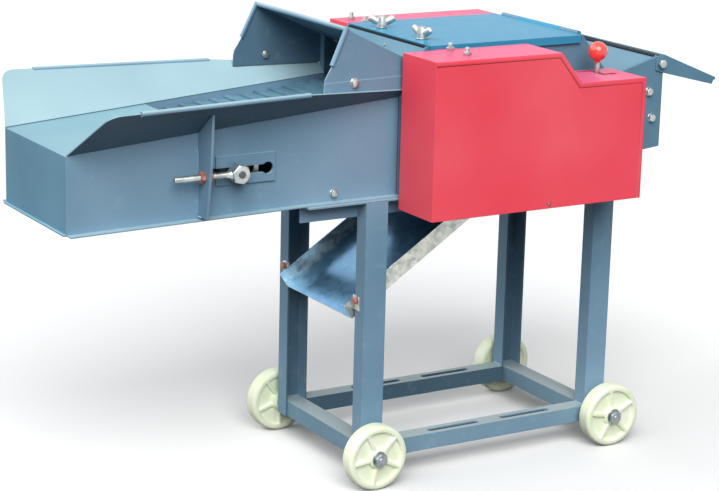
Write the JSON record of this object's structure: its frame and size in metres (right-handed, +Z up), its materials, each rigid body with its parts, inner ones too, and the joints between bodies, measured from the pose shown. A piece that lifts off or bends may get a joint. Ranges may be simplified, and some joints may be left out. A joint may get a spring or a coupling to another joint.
{
  "type": "chaff cutter",
  "caption": "Conveyor-fed chaff cutter: open feed trough, hooded throat, bladed rotor under a hinged cover, guarded gear train, shift lever, chute and a wheeled channel frame.",
  "frame": {"origin": "on the floor, below the middle of the box that holds the machine", "axes": "+X from the feed end to the discharge end, +Y from the gear side to the pulley side, +Z up"},
  "size_m": [1.2065, 0.4725, 0.7517],
  "materials": {
    "frame_paint": "satin",
    "guard_red": "gloss",
    "cover_blue": "gloss",
    "galvanised": "spangled",
    "zinc": "plated",
    "steel": "machined",
    "knife_steel": "ground",
    "cast": "as cast",
    "rusty_steel": "rusted",
    "belt_rubber": "matte",
    "wheel_nylon": "moulded",
    "ball_plastic": "gloss"
  },
  "bodies": {
    "frame": {"leg_near_feed": "frame_paint", "leg_far_feed": "frame_paint", "leg_near_discharge": "frame_paint", "leg_far_discharge": "frame_paint", "base_rail_near": "frame_paint", "base_rail_far": "frame_paint", "base_cross_feed": "frame_paint", "base_cross_discharge": "frame_paint", "top_rail_near": "frame_paint", "top_rail_far": "frame_paint", "wheel_axles": "zinc", "trough_side_near": "frame_paint", "trough_side_far": "frame_paint", "feed_table": "frame_paint", "belt_bed": "frame_paint", "conveyor_belt": "belt_rubber", "tension_gussets": "frame_paint", "tension_nuts": "rusty_steel", "feed_hood": "frame_paint", "casing_side_near": "frame_paint", "casing_side_far": "frame_paint", "casing_cheek_near": "frame_paint", "casing_cheek_far": "frame_paint", "casing_front": "frame_paint", "casing_back": "frame_paint", "rubber_seals": "belt_rubber", "rotor_concave": "steel", "bed_bar": "frame_paint", "bed_knife": "knife_steel", "chute": "galvanised", "gear_guard": "guard_red", "pulley_guard": "guard_red", "shaft_bearings": "cast", "shaft_supports": "steel", "zinc_bolts": "zinc"},
    "cover": {"top_cover": "cover_blue"},
    "near_knob": {"knob_near": "zinc"},
    "far_knob": {"knob_far": "zinc"},
    "flap": {"deflector_flap": "frame_paint"},
    "cutting_rotor": {"rotor": "steel", "rotor_knives": "knife_steel", "drive_pulley": "cast", "rotor_pinion": "steel"},
    "layshaft": {"layshaft_gears": "cast"},
    "idler": {"idler_gear": "cast"},
    "lower_feed": {"drive_roller": "steel", "drive_roller_gear": "cast"},
    "upper_feed": {"upper_roller": "steel", "upper_roller_gear": "cast"},
    "tensioner": {"tail_axle": "zinc", "eye_bolts": "zinc"},
    "tail": {"tail_roller": "steel"},
    "lever": {"shift_lever": "zinc", "lever_ball": "ball_plastic"},
    "clutch": {"clutch_collar": "steel"},
    "near_feed_wheel": {"wheel_near_feed": "wheel_nylon"},
    "far_feed_wheel": {"wheel_far_feed": "wheel_nylon"},
    "near_discharge_wheel": {"wheel_near_discharge": "wheel_nylon"},
    "far_discharge_wheel": {"wheel_far_discharge": "wheel_nylon"}
  },
  "joints": [
    {"name": "cover_hinge", "type": "hinge", "parent": "frame", "child": "cover", "pos_m": [0.31849, 0.0085, 0.708], "axis": [0, 1, 0], "range_deg": [0, 100]},
    {"name": "near_knob_spin", "type": "hinge", "parent": "cover", "child": "near_knob", "pos_m": [0.04249, -0.0535, 0.712], "axis": [0, 0, 1], "continuous": true},
    {"name": "far_knob_spin", "type": "hinge", "parent": "cover", "child": "far_knob", "pos_m": [0.04249, 0.0705, 0.712], "axis": [0, 0, 1], "continuous": true},
    {"name": "flap_tilt", "type": "hinge", "parent": "frame", "child": "flap", "pos_m": [0.48249, 0.0085, 0.65], "axis": [0, 1, 0], "range_deg": [-20, 40]},
    {"name": "rotor_spin", "type": "hinge", "parent": "frame", "child": "cutting_rotor", "pos_m": [0.21249, 0.0085, 0.569], "axis": [0, 1, 0], "continuous": true},
    {"name": "layshaft_spin", "type": "hinge", "parent": "frame", "child": "layshaft", "pos_m": [0.12549, -0.1735, 0.569], "axis": [0, 1, 0], "continuous": true},
    {"name": "idler_spin", "type": "hinge", "parent": "frame", "child": "idler", "pos_m": [0.09828, -0.1605, 0.4959], "axis": [0, 1, 0], "continuous": true},
    {"name": "lower_feed_spin", "type": "hinge", "parent": "frame", "child": "lower_feed", "pos_m": [0.02249, 0.0085, 0.577], "axis": [0, 1, 0], "continuous": true},
    {"name": "upper_feed_spin", "type": "hinge", "parent": "frame", "child": "upper_feed", "pos_m": [0.02249, 0.0085, 0.6535], "axis": [0, 1, 0], "continuous": true},
    {"name": "belt_tension", "type": "slide", "parent": "frame", "child": "tensioner", "axis": [1, 0, 0], "range_m": [0, 0.02]},
    {"name": "tail_spin", "type": "hinge", "parent": "tensioner", "child": "tail", "pos_m": [-0.32651, 0.0085, 0.538], "axis": [0, 1, 0], "continuous": true},
    {"name": "lever_tilt", "type": "hinge", "parent": "frame", "child": "lever", "pos_m": [0.31249, -0.1635, 0.535], "axis": [1, 0, 0], "range_deg": [-9, 9]},
    {"name": "clutch_slide", "type": "slide", "parent": "cutting_rotor", "child": "clutch", "axis": [0, 1, 0], "range_m": [-0.0055, 0.0055]},
    {"name": "near_feed_wheel_spin", "type": "hinge", "parent": "frame", "child": "near_feed_wheel", "pos_m": [-0.08751, -0.1555, 0.054], "axis": [0, 1, 0], "continuous": true},
    {"name": "far_feed_wheel_spin", "type": "hinge", "parent": "frame", "child": "far_feed_wheel", "pos_m": [-0.08751, 0.1725, 0.054], "axis": [0, 1, 0], "continuous": true},
    {"name": "near_discharge_wheel_spin", "type": "hinge", "parent": "frame", "child": "near_discharge_wheel", "pos_m": [0.38149, -0.1555, 0.054], "axis": [0, 1, 0], "continuous": true},
    {"name": "far_discharge_wheel_spin", "type": "hinge", "parent": "frame", "child": "far_discharge_wheel", "pos_m": [0.38149, 0.1725, 0.054], "axis": [0, 1, 0], "continuous": true}
  ],
  "couplings": [
    {"joint": "layshaft_spin", "follows": "rotor_spin", "ratio": -0.31818},
    {"joint": "idler_spin", "follows": "rotor_spin", "ratio": 0.11722},
    {"joint": "lower_feed_spin", "follows": "rotor_spin", "ratio": -0.12374},
    {"joint": "upper_feed_spin", "follows": "rotor_spin", "ratio": 0.29697},
    {"joint": "tail_spin", "follows": "rotor_spin", "ratio": -0.10708},
    {"joint": "clutch_slide", "follows": "lever_tilt", "m_per_rad": -0.034}
  ]
}
